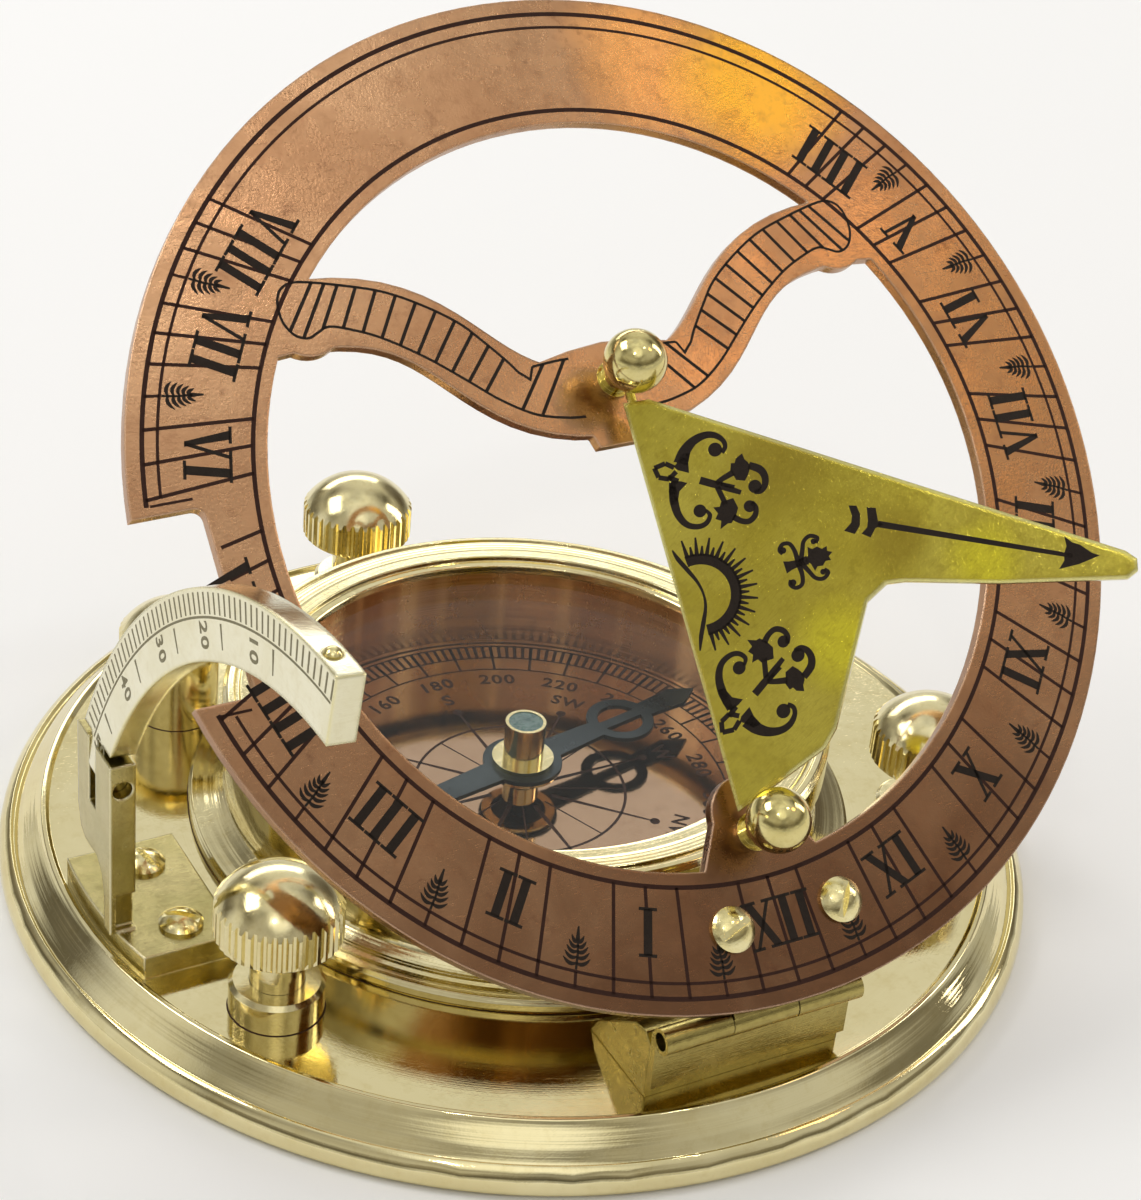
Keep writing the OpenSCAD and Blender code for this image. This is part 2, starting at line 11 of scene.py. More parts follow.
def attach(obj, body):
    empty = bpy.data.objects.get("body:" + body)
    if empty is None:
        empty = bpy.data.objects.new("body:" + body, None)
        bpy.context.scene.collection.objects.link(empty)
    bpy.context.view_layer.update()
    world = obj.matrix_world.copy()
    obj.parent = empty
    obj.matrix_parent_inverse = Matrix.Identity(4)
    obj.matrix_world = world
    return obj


MM = 0.001
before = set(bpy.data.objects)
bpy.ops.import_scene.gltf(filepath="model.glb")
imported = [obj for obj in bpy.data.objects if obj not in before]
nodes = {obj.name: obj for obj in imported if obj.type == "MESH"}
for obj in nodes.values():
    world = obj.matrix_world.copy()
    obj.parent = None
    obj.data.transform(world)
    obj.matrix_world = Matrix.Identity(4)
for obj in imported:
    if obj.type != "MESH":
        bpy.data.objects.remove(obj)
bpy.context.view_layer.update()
scene = bpy.context.scene

# Frames of the CAD model, in millimetres
TILT = math.radians(43)
LEAN = math.radians(5.4)
GNOMON_LEAN = math.radians(55)
HINGE = Vector((0, -55.5, 15.9))
RING_FACE = 3.4
RING_R = 59.0
RING_SHIFT = 3.9
FOLD_UP = 2.8
GNOMON_HALF = 0.65
DIAL_Z = 8
FLOOR_Z = 6.5
SCREW_CIRCLE, SCREW_ANGLES, POST_R = 49.5, (209.5, 90, 332), 5.46
TALL_CIRCLE, TALL_ANGLE, TALL_POST_R = 46.3, 134, 5.36
BOWL_FOOT_R = 40.76
U = Vector((1, 0, 0))
V = Vector((0, math.cos(TILT), math.sin(TILT)))
N = Vector((0, -math.sin(TILT), math.cos(TILT)))
RING_O = HINGE + U * RING_SHIFT + V * RING_R + N * RING_FACE


def plane_matrix(o, x, y, z):
    """Places local millimetres on a plane of the shared frame."""
    m = Matrix.Identity(4)
    for i, axis in enumerate((x, y, z)):
        for k in range(3):
            m[k][i] = axis[k] * MM
    for k in range(3):
        m[k][3] = o[k] * MM
    return m


def level_plane(z):
    return plane_matrix(Vector((0, 0, z)), Vector((1, 0, 0)), Vector((0, 1, 0)), Vector((0, 0, 1)))


RING = plane_matrix(RING_O, U, V, N)
POINTER = N * math.cos(GNOMON_LEAN) + U * math.sin(GNOMON_LEAN)
FACE = POINTER.cross(V)
GNOMON = plane_matrix(RING_O + N * FOLD_UP + FACE * GNOMON_HALF, V, POINTER, FACE)
ARC_UP = Vector((math.sin(LEAN), 0, math.cos(LEAN)))
ARC_OUT = Vector((-math.cos(LEAN), 0, math.sin(LEAN)))
PIVOT = Vector((-55.6, 0, 29.3))
ARC_O = PIVOT + Vector((0, HINGE.y, 0)) + ARC_UP * (HINGE.z - PIVOT.z)
ARC = plane_matrix(ARC_O, Vector((0, -1, 0)), ARC_UP, ARC_OUT)
DIAL = level_plane(DIAL_Z)


# Node materials


class Tree:
    """Builds the nodes of a material or a world."""

    def __init__(self, owner):
        owner.use_nodes = True
        self.t = owner.node_tree
        self.t.nodes.clear()

    def put(self, socket, value):
        if isinstance(value, bpy.types.NodeSocket):
            self.t.links.new(value, socket)
        else:
            socket.default_value = value

    def n(self, kind, props=None, **inputs):
        """A node with properties and inputs; i0, i1 and so on name an input by its number."""
        node = self.t.nodes.new(kind)
        for k, v in (props or {}).items():
            setattr(node, k, v)
        for k, v in inputs.items():
            self.put(node.inputs[int(k[1:]) if k[0] == "i" and k[1:].isdigit() else k], v)
        return node

    def math(self, op, a, b=0.0, c=0.0):
        return self.n("ShaderNodeMath", {"operation": op}, i0=a, i1=b, i2=c).outputs[0]

    def ramp(self, value, lo, hi, to_lo=0.0, to_hi=1.0):
        return self.n("ShaderNodeMapRange", None, i0=value, i1=lo, i2=hi, i3=to_lo, i4=to_hi).outputs[0]

    def mix(self, fac, a, b, blend="MIX"):
        node = self.n("ShaderNodeMix", {"data_type": "RGBA", "blend_type": blend})
        self.put(node.inputs[0], fac)
        self.put(node.inputs[6], a if isinstance(a, bpy.types.NodeSocket) else (*a, 1))
        self.put(node.inputs[7], b if isinstance(b, bpy.types.NodeSocket) else (*b, 1))
        return node.outputs[2]


class Mat(Tree):
    """A node material with a Principled shader."""

    def __init__(self, name):
        self.m = bpy.data.materials.new(name)
        super().__init__(self.m)
        self.b = self.n("ShaderNodeBsdfPrincipled")
        self.n("ShaderNodeOutputMaterial", None, i0=self.b.outputs[0])
        self.co = self.n("ShaderNodeTexCoord").outputs["Object"]

    def noise(self, scale, detail=3.0, rough=0.5, at=None, stretch=None, distort=0.0):
        at = at or self.co
        if stretch:
            at = self.n("ShaderNodeMapping", None, Vector=at, Scale=stretch).outputs[0]
        return self.n("ShaderNodeTexNoise", None, Vector=at, Scale=scale, Detail=detail,
                      Roughness=rough, Distortion=distort).outputs["Fac"]

    def radius(self):
        """Distance from the vertical axis of the base, in metres."""
        s = self.n("ShaderNodeSeparateXYZ", None, i0=self.co)
        q = self.n("ShaderNodeCombineXYZ", None, i0=s.outputs[0], i1=s.outputs[1], i2=0.0).outputs[0]
        return self.n("ShaderNodeVectorMath", {"operation": "LENGTH"}, i0=q).outputs["Value"]

    def bump(self, height, strength, distance, normal=None):
        node = self.n("ShaderNodeBump", None, Strength=strength, Distance=distance, Height=height)
        if normal:
            self.put(node.inputs["Normal"], normal)
        return node.outputs[0]


def metal(name, tones, rough, patch, grain=None, turned=False, bump=0.15, spots=0.0,
          specks=(0.05, 0.03, 0.015), plane=None, zones=(), wear_and_edge_highlight=None, wear_highlight_reach=0.45,
          wall=None, coarse_from=33.0):
    """A metal of three drifting tones with scratches and uneven gloss.

    grain: stretch of brushed lines; turned: fine turned lines, coarse ones from a radius in mm;
    spots, specks: share and tone of stains; zones: broad tints on a plane as (place, reach, tone),
    some of which paint a sheen, highlights and shade; worn, wear_highlight_reach: tone and reach in mm of
    lighter edges, partly rubbed wear and partly painted edge highlight; wall: radius in mm, two tones and
    extra roughness of an inner wall, which also gets bright stripes of painted highlight.
    """
    a = Mat(name)
    drift = a.noise(patch, 5.0, 0.6, distort=0.4)
    fine = a.noise(patch * 11, 4.0, 0.65)
    col = a.mix(a.ramp(drift, 0.36, 0.64), tones[0], tones[1])
    cloud = a.noise(60, 4.0, 0.6, distort=0.8) if zones else None
    # Broad tints on a plane; on the ring and the gnomon they paint a sheen, highlights and shade into the
    # colour, besides plain tints.
    for (u, v), reach, tone in zones:
        at = a.n("ShaderNodeVectorMath", {"operation": "DISTANCE"}, i0=a.co,
                 i1=tuple(plane @ Vector((u, v, 0)))).outputs["Value"]
        edge = a.math("MULTIPLY_ADD", cloud, reach * 0.9 * MM, at)
        col = a.mix(a.ramp(edge, reach * 0.85 * MM, reach * 1.7 * MM, 0.9, 0.0), col, tone)
    col = a.mix(a.ramp(fine, 0.5, 0.78, 0.0, 0.45), col, tones[2])
    scratch = a.noise(1.0, 2.0, 0.5, stretch=(900, 9000, 900))
    scratch2 = a.noise(1.0, 2.0, 0.5, stretch=(7000, 700, 2500))
    marks = a.math("ADD", a.ramp(scratch, 0.62, 0.8), a.ramp(scratch2, 0.62, 0.8))
    height = a.math("MULTIPLY_ADD", marks, -0.5, a.noise(3200, 2.0))
    if turned:
        r = a.radius()
        line = a.n("ShaderNodeCombineXYZ", None, i0=r, i1=0.0, i2=0.0).outputs[0]
        rings = a.noise(5200, 3.0, 0.7, at=line)
        height = a.math("MULTIPLY_ADD", rings, 1.6, height)
        coarse = a.noise(1500, 2.0, 0.5, at=line)
        share = a.ramp(r, (coarse_from - 0.4) * MM, coarse_from * MM, 0.0, 12.0)
        height = a.math("MULTIPLY_ADD", coarse, share, height)
        col = a.mix(a.ramp(coarse, 0.52, 0.62, 0.0, 0.25), col, tones[1])
        col = a.mix(a.ramp(rings, 0.55, 0.75, 0.0, 0.3), col, tones[2])
    if grain:
        lines = a.noise(1.0, 3.0, 0.6, stretch=grain)
        height = a.math("MULTIPLY_ADD", lines, 1.8, height)
        col = a.mix(a.ramp(lines, 0.5, 0.8, 0.0, 0.35), col, tones[2])
    if spots:
        blot = a.noise(patch * 4, 6.0, 0.75)
        col = a.mix(a.ramp(blot, 0.60, 0.72, 0.0, spots), col, specks)
    # Lighter edges: partly rubbed wear, partly a painted highlight where light catches the rounded edges.
    if wear_and_edge_highlight:
        round_n = a.n("ShaderNodeBevel", {"samples": 6}, Radius=wear_highlight_reach * MM).outputs[0]
        flat_n = a.n("ShaderNodeNewGeometry").outputs["True Normal"]
        dot = a.n("ShaderNodeVectorMath", {"operation": "DOT_PRODUCT"},
                  i0=round_n, i1=flat_n).outputs["Value"]
        near = a.math("MULTIPLY_ADD", a.noise(patch * 9, 4.0, 0.7), -0.06, dot)
        col = a.mix(a.ramp(near, 0.955, 0.80, 0.0, 0.9), col, wear_and_edge_highlight)
    a.b.inputs["Metallic"].default_value = 1.0
    rub = a.noise(patch * 2.3, 6.0, 0.6)
    gloss = a.ramp(a.math("MULTIPLY_ADD", marks, 0.12, rub), 0.35, 0.75, *rough)
    if wall:
        reach, tone_a, tone_b, wall_rough = wall
        inside = a.ramp(a.radius(), reach * MM, (reach + 0.2) * MM, 1.0, 0.0)
        lines = a.noise(1.0, 3.0, 0.6, stretch=(30, 30, 5200))
        tone = a.mix(a.ramp(lines, 0.3, 0.7), tone_a, tone_b)
        # Bright vertical stripes on the inner wall are painted highlights.
        streak = a.noise(1.0, 2.0, 0.5, stretch=(190, 190, 6))
        tone = a.mix(a.ramp(streak, 0.50, 0.62, 0.0, 0.8), tone, (1.0, 0.80, 0.50))
        col = a.mix(inside, col, tone)
        height = a.math("MULTIPLY_ADD", a.math("MULTIPLY", inside, lines), 2.5, height)
        gloss = a.math("MULTIPLY_ADD", inside, wall_rough, gloss)
    a.put(a.b.inputs["Base Color"], col)
    a.put(a.b.inputs["Roughness"], gloss)
    a.put(a.b.inputs["Normal"], a.bump(height, bump, 0.00006, round_n if wear_and_edge_highlight else None))
    return a.m


def inlay(name, tone, tone2):
    """A dull filling of engraved lines."""
    a = Mat(name)
    col = a.mix(a.noise(1500, 4.0, 0.7), tone, tone2)
    a.put(a.b.inputs["Base Color"], col)
    a.put(a.b.inputs["Roughness"], a.ramp(a.noise(900, 3.0), 0.3, 0.7, 0.4, 0.65))
    a.b.inputs["Specular IOR Level"].default_value = 0.14
    a.put(a.b.inputs["Normal"], a.bump(a.noise(4000, 3.0), 0.5, 0.00005))
    return a.m


BRASS = ((0.76, 0.66, 0.35), (0.85, 0.76, 0.45), (0.66, 0.54, 0.24))
PALE = ((0.80, 0.75, 0.52), (0.88, 0.84, 0.64), (0.66, 0.58, 0.34))
# Orange and gold paint a warm sheen, a reflection of warm light, on the upper right of the ring.
PAINTED_SHEEN_ORANGE = (0.95, 0.46, 0.15)
PAINTED_SHEEN_GOLD = (1.0, 0.54, 0.06)
# A darker brown laid over the right side of the ring.
RIGHT_SIDE_BROWN = (0.34, 0.19, 0.09)
# The dark tint paints shade on the ring, darker towards its bottom.
PAINTED_LOW_SHADE = (0.15, 0.07, 0.035)
# Lemon yellow paints highlights on the gnomon.
PAINTED_HIGHLIGHT_LEMON = (0.90, 0.80, 0.06)
OLIVE = (0.44, 0.34, 0.05)
COPPER = ((0.40, 0.215, 0.110), (0.50, 0.290, 0.155), (0.26, 0.12, 0.060))

floor_brass = metal("turned_base_brass", BRASS, (0.02, 0.07), 45, turned=True, bump=0.06,
                    coarse_from=57.8)
bowl_brass = metal("turned_bowl_brass", BRASS, (0.05, 0.14), 60, turned=True, bump=0.10,
                   wall=(33.0, (0.42, 0.24, 0.12), (0.74, 0.50, 0.29), 0.17))
rim_brass = metal("turned_rim_brass", BRASS, (0.035, 0.10), 60, turned=True, bump=0.16)
small_brass = metal("polished_fitting_brass", BRASS, (0.09, 0.22), 160, bump=0.10, spots=0.25,
                    specks=(0.30, 0.20, 0.07))
ball_brass = metal("ball_finial_brass", ((0.68, 0.58, 0.23), (0.78, 0.68, 0.32), (0.54, 0.42, 0.13)),
                   (0.07, 0.20), 200, bump=0.12, spots=0.25, specks=(0.30, 0.20, 0.07))
screw_brass = metal("screw_head_brass", ((0.80, 0.68, 0.30), (0.88, 0.80, 0.46), (0.60, 0.46, 0.16)),
                    (0.12, 0.26), 300, bump=0.25, spots=0.3, specks=(0.25, 0.16, 0.06))
# The arc and the bracket get lighter edges that are partly wear, partly painted edge highlight.
pale_brass = metal("pale_arc_brass", PALE, (0.12, 0.28), 90, grain=(300, 300, 9000), bump=0.12,
                   wear_and_edge_highlight=(0.86, 0.78, 0.42), wear_highlight_reach=0.7)
bracket_brass = metal("brushed_bracket_brass", ((0.46, 0.40, 0.16), (0.56, 0.48, 0.22), (0.32, 0.24, 0.08)),
                      (0.14, 0.30), 120, grain=(300, 9000, 300), bump=0.08, spots=0.25,
                      specks=(0.25, 0.17, 0.06), wear_and_edge_highlight=(0.90, 0.84, 0.60))
hinge_brass = metal("hinge_brass", ((0.36, 0.29, 0.09), (0.48, 0.39, 0.13), (0.18, 0.12, 0.03)),
                    (0.16, 0.34), 140, grain=(400, 8000, 8000), bump=0.2, spots=0.5)
# The gnomon's lemon yellow patches are painted highlights and its olive ones darker patches; its lighter edges
# are partly wear, partly painted edge highlight.
gnomon_brass = metal("gnomon_brass", ((0.56, 0.46, 0.06), (0.70, 0.60, 0.10), (0.36, 0.27, 0.035)),
                     (0.10, 0.22), 60, grain=(1200, 7000, 900), bump=0.22, spots=0.12,
                     specks=(0.22, 0.14, 0.02), plane=GNOMON, wear_and_edge_highlight=(0.95, 0.90, 0.45), wear_highlight_reach=0.9,
                     zones=(((-24, 14), 4.5, PAINTED_HIGHLIGHT_LEMON), ((-20, 31), 4, PAINTED_HIGHLIGHT_LEMON),
                            ((-2, 13), 6, OLIVE), ((-15, 23), 3.5, OLIVE)))
# The ring's tints paint a warm sheen at its upper right and shade over its lower part, and add a darker brown
# on its right side; its lighter edges are partly wear, partly painted edge highlight.
ring_copper = metal("antique_ring_copper_painted_sheen_shade", COPPER, (0.20, 0.36), 55, bump=0.25, spots=0.5,
                    specks=(0.14, 0.055, 0.03), plane=RING, wear_and_edge_highlight=(0.85, 0.58, 0.40), wear_highlight_reach=0.4,
                    zones=(((17, 50), 9, PAINTED_SHEEN_ORANGE), ((30, 45), 10, PAINTED_SHEEN_GOLD),
                           ((52, 6), 24, RIGHT_SIDE_BROWN), ((2, -80), 68, PAINTED_LOW_SHADE)))
dial_copper = metal("polished_dial_copper", ((0.49, 0.325, 0.205), (0.55, 0.37, 0.24), (0.40, 0.24, 0.14)),
                    (0.04, 0.11), 50, bump=0.05)
needle_steel = metal("blued_needle_steel", ((0.028, 0.036, 0.038), (0.05, 0.062, 0.064), (0.018, 0.02, 0.022)),
                     (0.26, 0.42), 120, bump=0.2)
ink = inlay("etched_black", (0.012, 0.009, 0.007), (0.03, 0.02, 0.014))
brown_ink = inlay("etched_brown", (0.03, 0.014, 0.009), (0.07, 0.032, 0.02))
grey_ink = inlay("worn_grey_etching", (0.16, 0.14, 0.075), (0.30, 0.27, 0.16))
line_ink = inlay("ring_line_etching", (0.022, 0.009, 0.006), (0.05, 0.018, 0.011))


def teal_enamel():
    a = Mat("teal_enamel")
    col = a.mix(a.ramp(a.noise(900, 4.0), 0.35, 0.65), (0.05, 0.12, 0.11), (0.10, 0.19, 0.17))
    a.put(a.b.inputs["Base Color"], col)
    a.put(a.b.inputs["Roughness"], a.ramp(a.noise(2200, 3.0), 0.3, 0.7, 0.18, 0.4))
    a.put(a.b.inputs["Normal"], a.bump(a.noise(3000, 2.0), 0.25, 0.00005))
    return a.m


def clear_glass():
    a = Mat("compass_window_glass")
    a.b.inputs["Base Color"].default_value = (0.94, 0.97, 0.96, 1)
    a.b.inputs["Metallic"].default_value = 1.0
    a.put(a.b.inputs["Roughness"], a.ramp(a.noise(120, 5.0, 0.6), 0.4, 0.7, 0.01, 0.06))
    side = a.n("ShaderNodeLayerWeight", None, Blend=0.5).outputs["Facing"]
    a.put(a.b.inputs["Alpha"], a.math("MULTIPLY_ADD", a.math("POWER", side, 4.0), 0.45, 0.006))
    return a.m


glass = clear_glass()
enamel = teal_enamel()


def paint(name, mat):
    """Gives a CAD node its material."""
    o = nodes[name]
    o.data.materials.clear()
    o.data.materials.append(mat)


def soften(name, width, angle=32):
    """Closes a CAD node's mesh and rounds its edges, by modifiers."""
    o = nodes[name]
    for a in [x for x in o.data.attributes if x.name == "custom_normal"]:
        o.data.attributes.remove(a)
    for p in o.data.polygons:
        p.use_smooth = True
    weld = o.modifiers.new("close", "WELD")
    weld.merge_threshold = 1e-6
    b = o.modifiers.new("edges", "BEVEL")
    b.width = width * MM
    b.segments = 2
    b.limit_method = "ANGLE"
    b.angle_limit = math.radians(angle)
    b.harden_normals = True
    b.miter_outer = "MITER_ARC"
    w = o.modifiers.new("even", "WEIGHTED_NORMAL")
    w.keep_sharp = True


LOOK = {
    "base_plate": (floor_brass, 0.12), "compass_bowl": (bowl_brass, 0.12), "bowl_bezel": (rim_brass, 0.1),
    "glass_retaining_ring": (rim_brass, 0.06), "compass_glass": (glass, 0), "compass_dial": (dial_copper, 0.05),
    "needle_pivot": (small_brass, 0.04), "compass_needle": (needle_steel, 0.06),
    "needle_collar": (small_brass, 0.05), "needle_boss": (small_brass, 0.06), "boss_cap": (enamel, 0.04),
    "levelling_posts": (small_brass, 0.1), "levelling_screw_left": (small_brass, 0.05),
    "levelling_screw_back": (small_brass, 0.05), "levelling_screw_right": (small_brass, 0.05),
    "levelling_knob_left": (small_brass, 0.07), "levelling_knob_back": (small_brass, 0.07),
    "levelling_knob_right": (small_brass, 0.07), "clamp_post": (small_brass, 0.1),
    "clamp_stud": (small_brass, 0.05), "clamp_knob": (small_brass, 0.07), "arc_bracket": (bracket_brass, 0.12),
    "arc_bracket_screws": (screw_brass, 0.07), "arc_pivot_pin": (hinge_brass, 0.05),
    "latitude_arc": (pale_brass, 0.2), "arc_stop_pin": (screw_brass, 0.05), "hinge_block": (hinge_brass, 0.15),
    "hinge_fixed_leaf": (hinge_brass, 0.08), "hinge_pin": (hinge_brass, 0.05),
    "hinge_ring_leaf": (hinge_brass, 0.08), "ring_screws": (screw_brass, 0.07),
    "hour_ring": (ring_copper, 0.12), "gnomon_ball_posts": (ball_brass, 0.06), "gnomon": (gnomon_brass, 0.3),
}
for name, (mat, width) in LOOK.items():
    paint(name, mat)
    if width:
        soften(name, width)


# Engraving


class Cut:
    """Collects flat shapes in local millimetres for one inlaid piece."""

    def __init__(self):
        self.v = []
        self.f = []

    def poly(self, pts):
        k = len(self.v)
        self.v += [(p[0], p[1]) for p in pts]
        tris = tessellate_polygon([[Vector((p[0], p[1], 0)) for p in pts]])
        self.f += [tuple(k + i for i in t) for t in tris]

    def line(self, pts, w, closed=False, taper=None):
        """A stroke of width w along points; taper gives the width factor from 0 to 1 along it."""
        pts = [Vector((p[0], p[1])) for p in pts]
        n = len(pts)
        k = len(self.v)
        for i, p in enumerate(pts):
            a = pts[i - 1] if i or closed else p
            b = pts[(i + 1) % n] if i < n - 1 or closed else p
            d = (b - a).normalized() if (b - a).length > 1e-9 else Vector((1, 0))
            s = w / 2 * (taper(i / (n - 1)) if taper else 1)
            if 0 < i < n - 1 or closed:
                e = (b - p).normalized() if (b - p).length > 1e-9 else d
                s /= max(0.5, abs(d.dot(e)))
            self.v += [(p.x - d.y * s, p.y + d.x * s), (p.x + d.y * s, p.y - d.x * s)]
        for i in range(n if closed else n - 1):
            j = (i + 1) % n
            self.f.append((k + 2 * i, k + 2 * i + 1, k + 2 * j + 1, k + 2 * j))

    def arc(self, c, r, a0, a1, w, step=3.0, taper=None):
        m = max(3, int(abs(a1 - a0) / step))
        t = [math.radians(a0 + (a1 - a0) * i / m) for i in range(m + 1)]
        self.line([(c[0] + r * math.cos(x), c[1] + r * math.sin(x)) for x in t], w, taper=taper)

    def ring(self, c, r, w, m=120):
        self.line([(c[0] + r * math.cos(2 * math.pi * i / m), c[1] + r * math.sin(2 * math.pi * i / m))
                   for i in range(m)], w, closed=True)

    def disc(self, c, r, m=24):
        self.poly([(c[0] + r * math.cos(2 * math.pi * i / m), c[1] + r * math.sin(2 * math.pi * i / m))
                   for i in range(m)])

    def add(self, other, at, up, scale=1.0):
        """Adds another cut with its origin at a point and its +Y along up."""
        up = Vector(up).normalized()
        rt = Vector((up.y, -up.x))
        k = len(self.v)
        self.v += [(at[0] + scale * (x * rt.x + y * up.x), at[1] + scale * (x * rt.y + y * up.y))
                   for x, y in other.v]
        self.f += [tuple(k + i for i in f) for f in other.f]

    def build(self, name, matrix, mat, body, height=0.012):
        mesh = bpy.data.meshes.new(name)
        mesh.from_pydata([matrix @ Vector((x, y, height)) for x, y in self.v], [], self.f)
        bm = bmesh.new()
        bm.from_mesh(mesh)
        up = (matrix.to_3x3() @ Vector((0, 0, 1))).normalized()
        for f in bm.faces:
            f.normal_update()
            if f.normal.dot(up) < 0:
                f.normal_flip()
        bm.to_mesh(mesh)
        bm.free()
        mesh.materials.append(mat)
        o = bpy.data.objects.new(name, mesh)
        scene.collection.objects.link(o)
        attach(o, body)
        return o


def glyph(text, size):
    """Filled letters as a cut, centred on the origin, cap height about size."""
    c = bpy.data.curves.new("glyph", "FONT")
    c.body = text
    c.align_x = "CENTER"
    c.size = size / 0.70
    c.offset = 0.035 * size
    c.space_character = 1.14
    c.resolution_u = 3
    o = bpy.data.objects.new("glyph", c)
    scene.collection.objects.link(o)
    bpy.context.view_layer.update()
    me = bpy.data.meshes.new_from_object(o.evaluated_get(bpy.context.evaluated_depsgraph_get()))
    out = Cut()
    out.v = [(v.co.x, v.co.y - size / 2) for v in me.vertices]
    out.f = [tuple(p.vertices) for p in me.polygons]
    bpy.data.objects.remove(o)
    bpy.data.meshes.remove(me)
    bpy.data.curves.remove(c)
    return out


def roman(text, h):
    """A serifed roman numeral of cap height h, centred on the origin."""
    thick, thin, serif, gap = 0.20 * h, 0.085 * h, 0.07 * h, 0.10 * h
    widths = {"I": 0.42 * h, "V": 0.78 * h, "X": 0.80 * h}
    total = sum(widths[c] for c in text) + gap * 0.2 * (len(text) - 1)
    out = Cut()
    x = -total / 2
    for c in text:
        w = widths[c]
        m = x + w / 2
        lo, hi = -h / 2, h / 2

        def foot(cx, y, half):
            out.poly([(cx - half, y - serif / 2), (cx + half, y - serif / 2), (cx + half, y + serif / 2),
                      (cx - half, y + serif / 2)])

        if c == "I":
            out.poly([(m - thick / 2, lo), (m + thick / 2, lo), (m + thick / 2, hi), (m - thick / 2, hi)])
            foot(m, lo, thick * 1.05)
            foot(m, hi, thick * 1.05)
        if c == "V":
            out.poly([(m - w * 0.42, hi), (m - w * 0.42 + thick, hi),
                      (m + thick * 0.55, lo), (m - thick * 0.05, lo)])
            out.poly([(m + w * 0.40 - thin, hi), (m + w * 0.40, hi), (m + thick * 0.4, lo), (m, lo)])
            foot(m - w * 0.42 + thick / 2, hi, thick * 0.95)
            foot(m + w * 0.40 - thin / 2, hi, thick * 0.75)
        if c == "X":
            out.poly([(m - w * 0.42, hi), (m - w * 0.42 + thick, hi),
                      (m + w * 0.42, lo), (m + w * 0.42 - thick, lo)])
            out.poly([(m + w * 0.38 - thin, hi), (m + w * 0.38, hi),
                      (m - w * 0.38 + thin, lo), (m - w * 0.38, lo)])
            foot(m - w * 0.42 + thick / 2, hi, thick * 0.95)
            foot(m + w * 0.38 - thin / 2, hi, thick * 0.75)
            foot(m - w * 0.38 + thin / 2, lo, thick * 0.75)
            foot(m + w * 0.42 - thick / 2, lo, thick * 0.95)
        x += w + gap * 0.2
    return out


def frond(t):
    """Width along a branch of the sprig, full in the middle and pointed at its end."""
    return 0.55 + 0.6 * math.sin(math.pi * min(1, t * 1.1)) if t < 0.92 else 0.15


def leaf(h):
    """A small fir sprig of height h with its stem foot at the origin."""
    out = Cut()
    out.line([(0, 0), (0.02 * h, 0.35 * h), (0, 0.72 * h)], 0.055 * h)
    out.poly([(-0.055 * h, 0.66 * h), (0.055 * h, 0.66 * h), (0.02 * h, 0.98 * h), (-0.02 * h, 0.98 * h)])
    for y, r in [(0.66, 0.15), (0.54, 0.21), (0.42, 0.26), (0.29, 0.30), (0.15, 0.33)]:
        for s in (-1, 1):
            pts = []
            for k in range(7):
                t = k / 6
                pts.append((s * r * h * t, (y - 0.05 * math.sin(t * 3.0) + 0.13 * t * t) * h))
            out.line(pts, 0.080 * h, taper=frond)
    return out


SUN_O = Vector((0, 12.5))
DIAL_LATITUDE = math.radians(77)
NOTCH_X, NOTCH_LOW, NOTCH_HIGH = -50.4, -13.7, 6.9


def hour_dir(h):
    """Direction of an hour line from the foot of the pointer; noon is 0."""
    a = math.radians(15 * h)
    phi = math.atan2(math.sin(DIAL_LATITUDE) * math.sin(a), math.cos(a))
    return Vector((-math.sin(phi), -math.cos(phi)))


def on_circle(h, r):
    """Point where the hour line of h cuts the circle of radius r about the ring centre."""
    d = hour_dir(h)
    b = SUN_O.dot(d)
    t = -b + math.sqrt(b * b - SUN_O.length_squared + r * r)
    return SUN_O + d * t


def in_notch(p, grow=0.7):
    """Whether a point of the ring falls in the notch for the arc."""
    return p.x < NOTCH_X and NOTCH_LOW - grow < p.y < NOTCH_HIGH + grow


R_IN, R_MID, R_OUT = 45.2, 55.5, 57.15
lines = Cut()
for r, w in ((R_IN, 0.5), (R_MID, 0.34), (R_OUT, 0.52)):
    run = []
    for i in range(361):
        a = math.radians(i - 20)
        p = Vector((r * math.cos(a), r * math.sin(a)))
        if in_notch(p, 1.0):
            if len(run) > 1:
                lines.line(run, w)
            run = []
        else:
            run.append(p)
    if len(run) > 1:
        lines.line(run, w)
for h in [h + d for h in range(-8, 9) for d in (-0.25, 0, 0.25)]:
    a, b = on_circle(h, R_IN), on_circle(h, R_OUT)
    if in_notch(b):
        b = on_circle(h, 50.0)
        if in_notch(b, 0.3):
            continue
    lines.line([a, b], 0.4)
lines.line([(-56.2, 8.0), (-51.5, 8.0)], 0.3)
lines.line([(-55.3, -15.0), (-51.5, -15.0)], 0.3)
NUMERALS = ("IIII", "V", "VI", "VII", "VIII", "IX", "X", "XI", "XII",
            "I", "II", "III", "IIII", "V", "VI", "VII", "VIII")
marks = Cut()
for h, text in enumerate(NUMERALS, -8):
    p = on_circle(h, 50.15)
    if in_notch(p, 1.5):
        continue
    marks.add(roman(text, 5.0), p, -p)
for i in range(-8, 8):
    h = i + 0.5
    p = on_circle(h, 55.3)
    if in_notch(on_circle(h, 53), 1.5):
        continue
    marks.add(leaf(4.7), p, -hour_dir(h))
    lines.line([on_circle(h, R_MID), on_circle(h, R_OUT)], 0.34)
lines.build("ring_hour_lines", RING, line_ink, "dial_ring")
marks.build("ring_numerals", RING, ink, "dial_ring", height=0.02)


